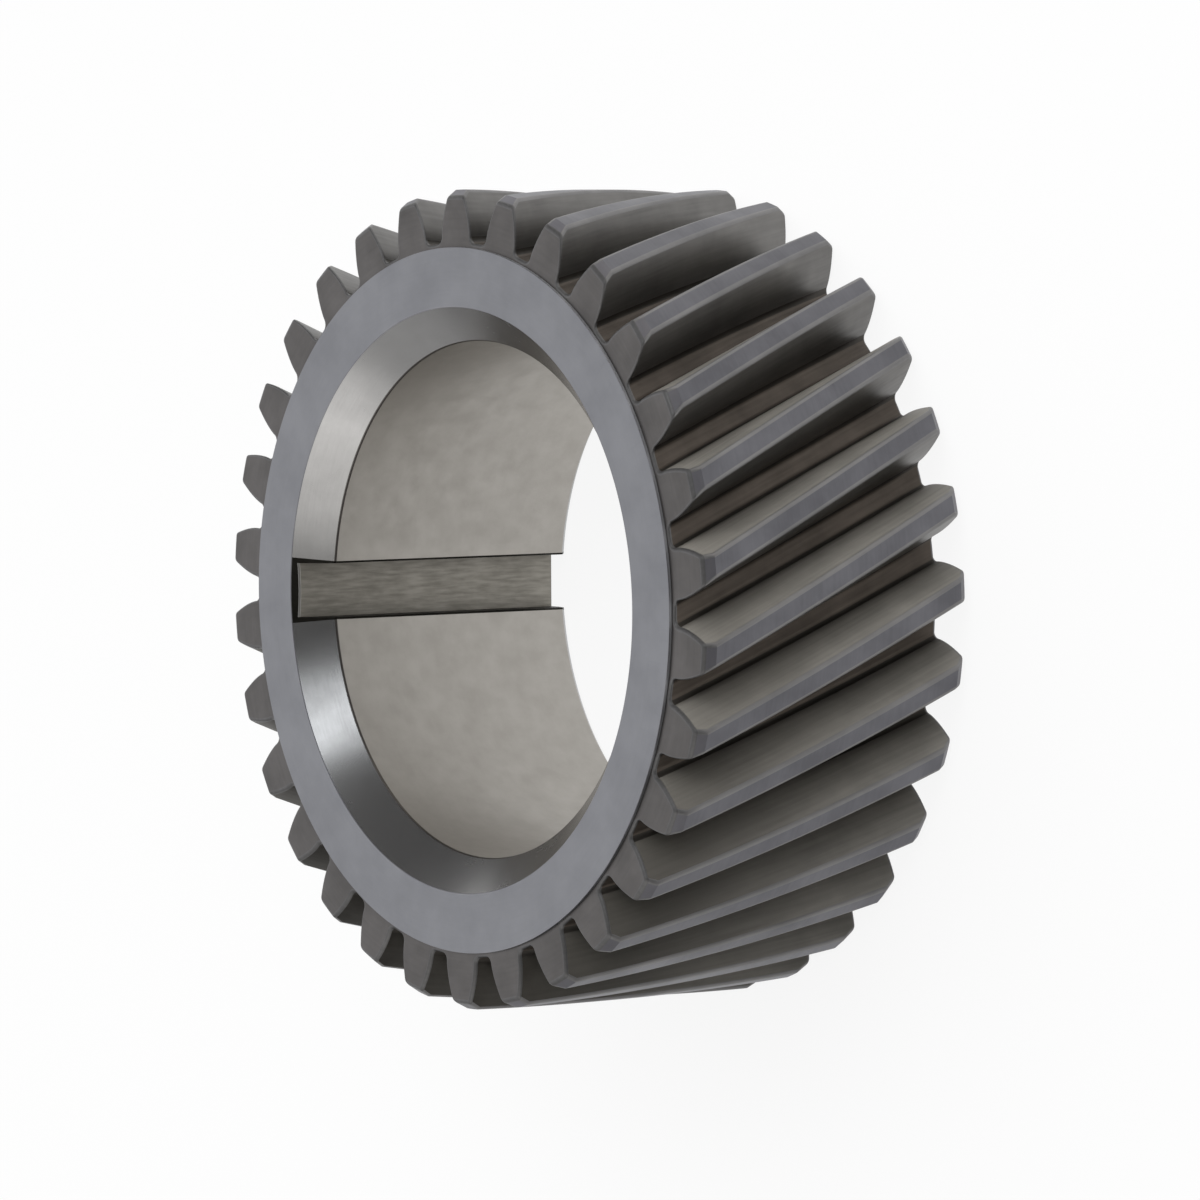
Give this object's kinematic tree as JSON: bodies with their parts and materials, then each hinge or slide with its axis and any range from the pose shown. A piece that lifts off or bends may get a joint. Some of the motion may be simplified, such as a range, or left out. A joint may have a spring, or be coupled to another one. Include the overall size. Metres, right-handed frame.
{
  "type": "helical gear wheel",
  "caption": "One-piece steel gear wheel with left-hand helical teeth, a large keyed bore with a wide bevelled mouth, and a flat ring on each side.",
  "frame": {"origin": "middle of the bore on the back face, which the gear stands on", "axes": "+Z along the bore, from the back face to the bevelled front mouth; the key slot lies at -X"},
  "size_m": [0.1394, 0.1394, 0.056],
  "materials": {
    "gear_steel": "machined steel, ground in the bore, turned on the flat rings and the bevel, hobbed and slightly dark on the teeth"
  },
  "bodies": {
    "root": {"gear_wheel": "gear_steel"}
  },
  "joints": []
}
